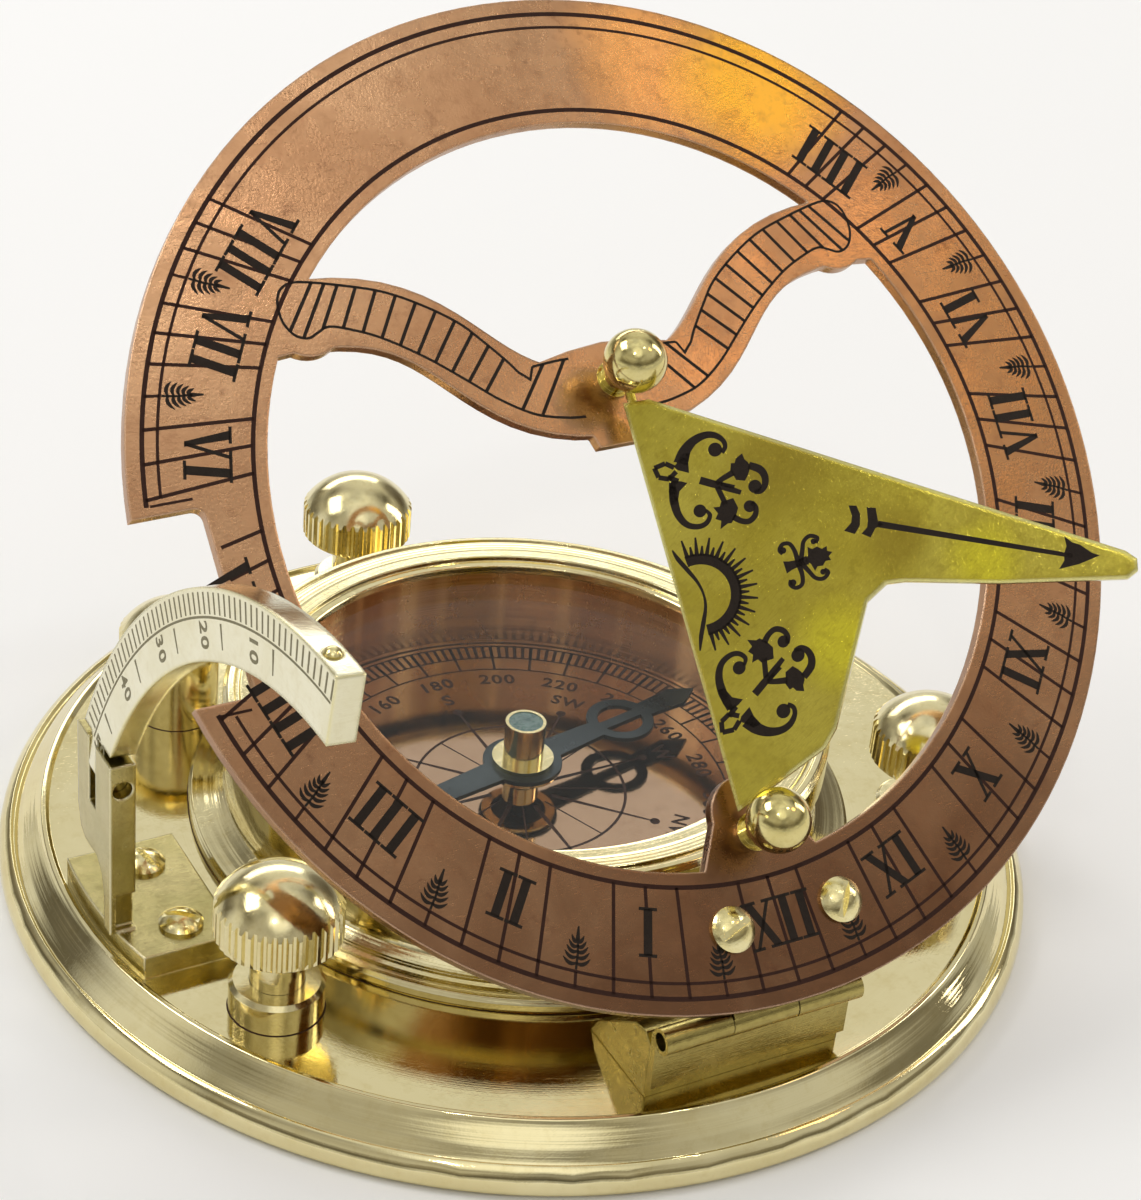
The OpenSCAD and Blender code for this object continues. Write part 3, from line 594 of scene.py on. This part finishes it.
def smooth(pts, steps=6):
    """Catmull-Rom curve through points."""
    p = [Vector(q) for q in pts]
    out = []
    for i in range(len(p) - 1):
        a, b, c, d = p[max(i - 1, 0)], p[i], p[i + 1], p[min(i + 2, len(p) - 1)]
        for k in range(steps):
            t = k / steps
            out.append(0.5 * (2 * b + (c - a) * t + (2 * a - 5 * b + 4 * c - d) * t * t
                              + (3 * b - a - 3 * c + d) * t ** 3))
    return out + [p[-1]]


ARM_UP = smooth([(36.2, 27.9), (35.6, 28.9), (34.4, 29.5), (32.7, 29.4), (29, 28.5), (24.2, 27), (20.1, 24.8),
                 (16.4, 22.1), (14.1, 19.5), (12, 16.8), (11.1, 15.4)])
ARM_V = smooth([(9.2, 15.7), (6.2, 15.9), (4.6, 15.9)])
ARM_LOW = smooth([(36.2, 27.9), (36.4, 26.6), (36.2, 25), (35.3, 23.6), (33.9, 23.1), (32.6, 23.6), (31.3, 24),
                  (29.2, 23.4), (25.7, 21.8), (21.3, 18.8), (17.4, 15.5), (14.1, 12.6), (10.5, 10.3), (7, 9.3),
                  (4.6, 9)])


def crossing(path, o, d):
    """Where the line from o along d meets a path, or None."""
    for a, b in zip(path, path[1:]):
        e = b - a
        det = d.x * e.y - d.y * e.x
        if abs(det) > 1e-9:
            t = ((a - o).x * e.y - (a - o).y * e.x) / det
            w = ((a - o).x * d.y - (a - o).y * d.x) / det
            if -1e-6 <= w <= 1 + 1e-6 and abs(t) < 9:
                return o + d * t
    return None


arms = Cut()
for s in (-1, 1):
    for path in (ARM_UP, ARM_V, ARM_LOW):
        arms.line([(s * p.x, p.y) for p in path], 0.3)
    arms.line([(s * 11.1, 15.4), (s * 9.9, 14.3), (s * 9.2, 15.7)], 0.3)
    for i in range(17):
        u = 34.2 - 1.85 * i
        lean = math.radians(52 + 6 * math.sin(i * 0.45))
        d = Vector((-math.cos(lean), math.sin(lean)))
        o = Vector((u, 26.2 if u > 30 else 26.2 - (30 - u) * 0.66))
        a = crossing(ARM_UP if u > 10.5 else ARM_V, o, d)
        b = crossing(ARM_LOW, o, d)
        if a and b:
            arms.line([(s * a.x, a.y), (s * b.x, b.y)], 0.4)
arms.build("ring_arm_stripes", RING, ink, "dial_ring")

# Compass dial: north towards the hinge
dial = Cut()
for r, w in ((31.5, 0.3), (28.8, 0.26), (26.1, 0.26), (13.1, 0.36)):
    dial.ring((0, 0), r, w, 180)


def bearing(deg):
    """Unit vector on the dial for a bearing; north is -Y and bearings grow towards -X."""
    a = math.radians(deg)
    return Vector((-math.sin(a), -math.cos(a)))


for i in range(180):
    d = bearing(2 * i)
    dial.line([d * 28.8, d * 31.4], 0.44)
    if i % 5 == 0:
        dial.line([d * 26.1, d * 31.4], 0.34)
for i in range(18):
    d = bearing(20 * i)
    dial.add(glyph(str(20 * i), 2.0), d * 23.8, d)
for i, text in enumerate(("N", "NE", "E", "SE", "S", "SW", "W", "NW")):
    d = bearing(45 * i)
    dial.line([d * 4.0, d * 17.4], 0.62, taper=lambda t: 1.0 - 0.6 * t)
    dial.disc(d * 17.4, 0.62)
    dial.add(glyph(text, 1.9 if len(text) > 1 else (2.9 if i == 0 else 2.1)), d * 20.3, d)
for i in range(8):
    d = bearing(22.5 + 45 * i)
    dial.line([d * 4.0, d * 13.1], 0.2)
dial.build("dial_etching", DIAL, brown_ink, "base")

# Latitude scale: local x points along -Y of the shared frame, local y up the arc's plane
scale = Cut()


def at_el(el, r):
    """Point on the arc's face at an elevation and a radius."""
    a = math.radians(el)
    return Vector((-r * math.cos(a), r * math.sin(a)))


EL_ZERO, EL_UNIT, EL_LOW = 90.2, 1.333, 18.4
scale.line([at_el(EL_LOW + (EL_ZERO - EL_LOW) * i / 60, 54.2) for i in range(61)], 0.26)
for i in range(54):
    el = EL_ZERO - EL_UNIT * i
    if el < EL_LOW:
        break
    scale.line([at_el(el, 54.5), at_el(el, 56.7)], 0.34)
    if i % 10 == 0 and i:
        scale.line([at_el(el, 53.7), at_el(el, 51.1)], 0.36, taper=lambda t: 1.15 - 0.5 * t)
        p = at_el(el - 4.8, 52.45)
        if el - 4.8 > EL_LOW:
            scale.add(glyph(str(i), 1.9), p, Vector((-p.y, p.x)) * -1)
scale.build("latitude_scale", ARC, grey_ink, "arc", height=1.512)

# Gnomon etching: local x runs along the noon line, local y up the pointer


def band(c, pts, w, widths):
    """A smooth stroke through points, with a width factor for each given point."""
    path = smooth(pts)
    m = len(widths) - 1

    def factor(t):
        i = min(int(t * m), m - 1)
        return widths[i] + (widths[i + 1] - widths[i]) * (t * m - i)

    c.line(path, w, taper=factor)


def scroll():
    """Two C scrolls joined at a small open diamond, with a stem of two bell flowers."""
    c = Cut()
    band(c, [(-5.3, 4.2), (-6.0, 4.5), (-6.7, 3.9), (-6.8, 2.9), (-6.2, 1.8), (-4.9, 1.2), (-3.2, 1.2),
             (-1.2, 1.6)], 1.0, [0.35, 0.5, 0.55, 0.6, 0.7, 0.85, 1.0, 0.7])
    c.disc((-5.2, 3.6), 0.72)
    c.poly([(-3.6, 1.5), (-2.4, 2.1), (-1.8, 3.2), (-1.4, 2.6), (-1.0, 1.6), (-2.0, 0.95), (-3.6, 0.8)])
    band(c, [(0.2, 7.8), (0.7, 8.35), (1.5, 8.3), (2.3, 7.6), (2.65, 6.5), (2.4, 5.1), (1.6, 3.9), (0.5, 3.1)],
         1.0, [0.5, 0.5, 0.55, 0.7, 0.8, 1.0, 1.3, 1.6])
    c.disc((0.75, 7.2), 0.78)
    c.poly([(-0.8, 3.7), (0.3, 3.95), (1.3, 4.5), (1.5, 3.6), (0.8, 2.9), (0.4, 2.3), (-0.1, 2.6)])
    for a, b in (((-0.2, 2.4), (-0.75, 1.4)), ((-0.75, 1.4), (-0.2, 0.35)), ((-0.2, 0.35), (0.95, 0.2)),
                 ((0.95, 0.2), (1.05, 1.5)), ((1.05, 1.5), (0.3, 2.3))):
        c.line([a, b], 0.55)
    c.line([(-1.3, 2.3), (-0.5, 1.3)], 0.6)
    band(c, [(-1.95, 4.6), (-2.7, 5.7), (-3.3, 6.6), (-3.9, 7.4), (-4.7, 8.5)], 0.85, [1.0, 1.0, 0.9, 0.8, 0.6])
    band(c, [(-2.9, 6.2), (-2.6, 7.0), (-2.3, 8.4)], 0.6, [1.0, 1.0, 1.2])
    c.line([(-2.9, 6.4), (-3.9, 8.0)], 0.45)
    c.line([(-3.3, 6.2), (-5.4, 6.5)], 0.6)
    c.poly([(-5.0, 7.5), (-5.0, 6.1), (-5.45, 5.8), (-5.3, 5.1), (-6.1, 5.4), (-6.6, 4.95), (-7.0, 5.5),
            (-7.85, 5.15), (-7.5, 6.1), (-7.6, 6.5), (-7.0, 7.2), (-6.2, 7.7)])
    band(c, [(-7.0, 6.9), (-7.7, 7.6), (-8.0, 8.4), (-7.6, 9.2), (-6.8, 9.55), (-6.1, 9.3)], 0.7,
         [1.0, 0.9, 0.9, 0.9, 0.8, 0.7])
    c.disc((-6.45, 8.95), 0.66)
    c.poly([(-3.6, 9.3), (-3.1, 9.8), (-2.3, 10.35), (-1.7, 10.2), (-1.3, 9.95), (-0.6, 9.9), (-0.9, 9.1),
            (-1.35, 8.8), (-1.25, 8.4), (-2.0, 8.1), (-2.5, 8.25), (-3.2, 8.4)])
    band(c, [(-5.1, 9.9), (-5.2, 10.6), (-4.7, 11.25), (-3.8, 11.5), (-2.9, 11.2), (-2.1, 10.2)], 0.8,
         [0.6, 0.8, 0.9, 1.0, 1.1, 1.0])
    c.disc((-4.55, 10.15), 0.74)
    return c


def moved(c, f):
    """A copy of a cut with each point passed through f."""
    out = Cut()
    out.v = [f(*p) for p in c.v]
    out.f = list(c.f)
    return out


etch = Cut()
etch.add(scroll(), (0, 0), (0, 1))
etch.add(moved(scroll(), lambda x, y: (-28.2 - x, y - 1.25 - 0.07 * (x + 2))), (0, 0), (0, 1))
sun = Vector((-14.05, 0.9))
etch.arc(sun, 3.95, -6, 186, 1.2, step=4.0)
for i in range(27):
    a = math.radians(-2 + 184 * i / 26)
    d = Vector((math.cos(a), math.sin(a)))
    q = Vector((-d.y, d.x))
    s0 = sun + d * 4.3
    etch.poly([s0 - q * 0.26, s0 + q * 0.26, sun + d * (6.35 if i % 2 == 0 else 5.4) + q * 0.1,
               sun + d * (6.35 if i % 2 == 0 else 5.4) - q * 0.1][::-1])
band(etch, [(-19.9, -0.95), (-18.5, -0.4), (-17, 0.35), (-15.5, 1.05), (-14.1, 1.25), (-12.6, 1.0), (-11, 0.35),
            (-9.5, -0.3), (-8.4, -0.6)], 0.5, [0.3, 1.0, 1.0, 0.7, 0.5, 0.7, 1.0, 1.0, 0.3])
etch.poly([(-13.0, 22.2), (-13.1, 21.2), (-13.9, 20.4), (-13.2, 19.6), (-12.7, 20.4), (-12.0, 20.7),
           (-10.6, 21.0), (-11.0, 21.9), (-12.5, 21.7)])
etch.poly([(-12.3, 19.7), (-13.0, 18.9), (-12.3, 17.9), (-11.7, 18.9), (-11.0, 19.2), (-9.8, 19.2),
           (-10.1, 20.0), (-11.1, 20.1)])
etch.line([(-12.75, 21.6), (-22.6, 40.2)], 0.62, taper=lambda t: 1.15 - 0.4 * t)
etch.poly([(-23.45, 42.9), (-23.65, 40.6), (-23.5, 38.4), (-22.8, 39.2), (-22.1, 39.4), (-21.4, 39.9),
           (-20.3, 40.0), (-21.2, 40.6), (-21.7, 41.3), (-22.9, 42.2)])
CX = -14.1  # middle of the small floral ornament
etch.poly([(CX, 12.9), (CX + 0.5, 13.4), (CX + 1.4, 13.6), (CX + 1.0, 14.0), (CX + 1.1, 14.6), (CX + 0.7, 15.0),
           (CX + 0.8, 15.6), (CX + 0.3, 15.5), (CX, 16.0), (CX - 0.3, 15.5), (CX - 0.8, 15.6), (CX - 0.7, 15.0),
           (CX - 1.1, 14.6), (CX - 1.0, 14.0), (CX - 1.4, 13.6), (CX - 0.5, 13.4)])
for k in (-1, 1):
    band(etch, [(CX, 12.4), (CX + k * 1.2, 12.95), (CX + k * 2.1, 13.4), (CX + k * 2.45, 14.2),
                (CX + k * 2.0, 14.9), (CX + k * 1.5, 14.6)], 0.5, [1.2, 1.0, 0.9, 0.9, 0.9, 0.8])
    etch.disc((CX + k * 1.75, 14.4), 0.32)
    band(etch, [(CX, 12.1), (CX + k * 1.3, 12.15), (CX + k * 2.3, 11.85), (CX + k * 2.5, 11.1),
                (CX + k * 2.0, 10.6), (CX + k * 1.5, 10.8)], 0.5, [1.2, 1.0, 0.9, 0.9, 0.9, 0.8])
    etch.disc((CX + k * 1.85, 10.95), 0.36)
etch.poly([(CX - 0.7, 10.6), (CX + 0.7, 10.6), (CX + 0.5, 11.2), (CX + 0.35, 12.3), (CX + 0.5, 13.2),
           (CX - 0.5, 13.2), (CX - 0.35, 12.3), (CX - 0.5, 11.2)])
etch.build("gnomon_etching", GNOMON, ink, "pointer")

# Dark hairlines where turned parts stand on the polished floor: the joins, painted dark as contact shade
seam_shade = Cut()
POSTS = [(SCREW_CIRCLE, a, POST_R) for a in SCREW_ANGLES] + [(TALL_CIRCLE, TALL_ANGLE, TALL_POST_R)]
for circle, a, r in POSTS:
    seam_shade.ring((circle * math.cos(math.radians(a)), circle * math.sin(math.radians(a))), r, 0.14, 48)
seam_shade.ring((0, 0), BOWL_FOOT_R, 0.14, 120)
seam_shade.build("floor_seam_shade", level_plane(FLOOR_Z), brown_ink, "base")


# Stage, light and camera


def area(name, at, target, size, power, colour):
    """A soft rectangular lamp aimed at a point."""
    light = bpy.data.lights.new(name, "AREA")
    light.shape = "RECTANGLE"
    light.size, light.size_y = size
    light.energy = power
    light.color = colour
    o = bpy.data.objects.new(name, light)
    o.location = at
    o.rotation_mode = "QUATERNION"
    o.rotation_quaternion = (Vector(target) - Vector(at)).to_track_quat("-Z", "Y")
    scene.collection.objects.link(o)


area("key", (-0.50, 0.35, 0.80), (0, 0, 0.04), (0.5, 0.3), 2.6, (1.0, 0.98, 0.95))
area("fill", (0.80, -0.10, 0.45), (0, 0, 0.04), (0.2, 0.5), 1.2, (1.0, 0.95, 0.88))
area("back", (0.25, 0.9, 0.45), (0, 0, 0.05), (0.9, 0.25), 1.8, (1.0, 1.0, 1.0))
area("warm", (0.42, -0.30, 0.62), (0.03, 0.01, 0.09), (0.10, 0.12), 0.12, (1.0, 0.62, 0.25))
area("lamp_left", (-0.42, -0.50, 0.95), (0, 0, 0.03), (0.05, 0.05), 0.35, (1.0, 0.99, 0.96))
area("lamp_right", (0.30, -0.35, 1.05), (0, 0, 0.03), (0.05, 0.05), 0.30, (1.0, 0.99, 0.96))

world = bpy.data.worlds.new("studio")
scene.world = world
w = Tree(world)
w_dir = w.n("ShaderNodeTexCoord").outputs["Generated"]
w_ramp = w.n("ShaderNodeValToRGB", None, i0=w.n("ShaderNodeSeparateXYZ", None, i0=w_dir).outputs[2])
stops = [(0.0, (0.98, 0.97, 0.95)), (0.09, (0.85, 0.84, 0.81)), (0.20, (0.22, 0.20, 0.16)),
         (0.34, (0.34, 0.31, 0.26)), (0.50, (0.66, 0.64, 0.60)), (0.60, (0.50, 0.48, 0.44)),
         (0.68, (0.26, 0.24, 0.20)), (0.76, (0.50, 0.48, 0.45)), (0.88, (0.95, 0.94, 0.92)),
         (1.0, (1.25, 1.25, 1.24))]
while len(w_ramp.color_ramp.elements) < len(stops):
    w_ramp.color_ramp.elements.new(0.5)
for e, (pos, c) in zip(w_ramp.color_ramp.elements, stops):
    e.position = pos
    e.color = (*c, 1)
w_col = w_ramp.outputs[0]
w_noise = w.n("ShaderNodeTexNoise", None, Vector=w_dir, Scale=2.4, Detail=2.0).outputs["Fac"]
w_col = w.mix(0.5, w_col, w.ramp(w_noise, 0.35, 0.65), "MULTIPLY")
# Soft panels: direction, cosines of the outer and inner edge, share and colour
PANELS = (((0.436, 0.722, 0.537), 0.80, 0.95, 0.9, (0.92, 0.91, 0.88)),
          ((-0.20, -0.50, 0.84), 0.93, 0.975, 0.9, (1.35, 1.34, 1.32)),
          ((-0.684, -0.369, 0.632), 0.93, 0.985, 0.7, (0.66, 0.64, 0.60)),
          ((0.436, -0.485, 0.757), 0.86, 0.97, 0.8, (0.76, 0.75, 0.73)),
          ((-0.90, 0.30, 0.30), 0.93, 0.985, 0.8, (1.0, 1.0, 1.0)),
          ((0.85, 0.45, 0.28), 0.94, 0.985, 0.8, (0.10, 0.08, 0.06)))
for d, outer, inner, share, tone in PANELS:
    w_dot = w.n("ShaderNodeVectorMath", {"operation": "DOT_PRODUCT"}, i0=w_dir, i1=d).outputs["Value"]
    w_col = w.mix(w.ramp(w_dot, outer, inner, 0.0, share), w_col, tone)
w_bg = w.n("ShaderNodeBackground", None, i0=w_col, i1=0.9)
w.n("ShaderNodeOutputWorld", None, i0=w_bg.outputs[0])

ground = bpy.data.meshes.new("floor")
ground.from_pydata([(-6, -6, 0), (6, -6, 0), (6, 6, 0), (-6, 6, 0)], [], [(0, 1, 2, 3)])
floor = bpy.data.objects.new("floor", ground)
scene.collection.objects.link(floor)
fm = Mat("pale_floor")
fm.put(fm.b.inputs["Base Color"], fm.mix(fm.noise(3.0, 3.0), (0.935, 0.94, 0.948), (0.955, 0.96, 0.968)))
fm.b.inputs["Roughness"].default_value = 0.85
ground.materials.append(fm.m)

# Camera: angles, distance and target in mm, focal length and optical centre in pixels of the full picture
AZ, EL, ROLL, DIST = math.radians(-31.12), math.radians(32.5), math.radians(5.67), 309.98
target = Vector((-9.83, -22.58, 49.90))
WIDE, HIGH, FOCAL, CENTRE_X, CENTRE_Y = 1141, 1200, 2853.9, 563.9, 611.4
SENSOR = 36
back = Vector((math.sin(AZ) * math.cos(EL), -math.cos(AZ) * math.cos(EL), math.sin(EL)))
fwd = -back
right = fwd.cross(Vector((0, 0, 1))).normalized()
up = right.cross(fwd)
r2 = right * math.cos(ROLL) + up * math.sin(ROLL)
u2 = -right * math.sin(ROLL) + up * math.cos(ROLL)
cam_data = bpy.data.cameras.new("camera")
cam = bpy.data.objects.new("camera", cam_data)
scene.collection.objects.link(cam)
place = (target + back * DIST) * MM
cam.matrix_world = Matrix([[r2[k], u2[k], back[k], place[k]] for k in range(3)] + [[0, 0, 0, 1]])
cam_data.sensor_fit = "AUTO"
cam_data.sensor_width = SENSOR
cam_data.lens = SENSOR * FOCAL / HIGH
cam_data.shift_x = (WIDE / 2 - CENTRE_X) / HIGH
cam_data.shift_y = (CENTRE_Y - HIGH / 2) / HIGH
cam_data.clip_start = 0.01
cam_data.clip_end = 20
scene.camera = cam
scene.view_settings.view_transform = "Standard"
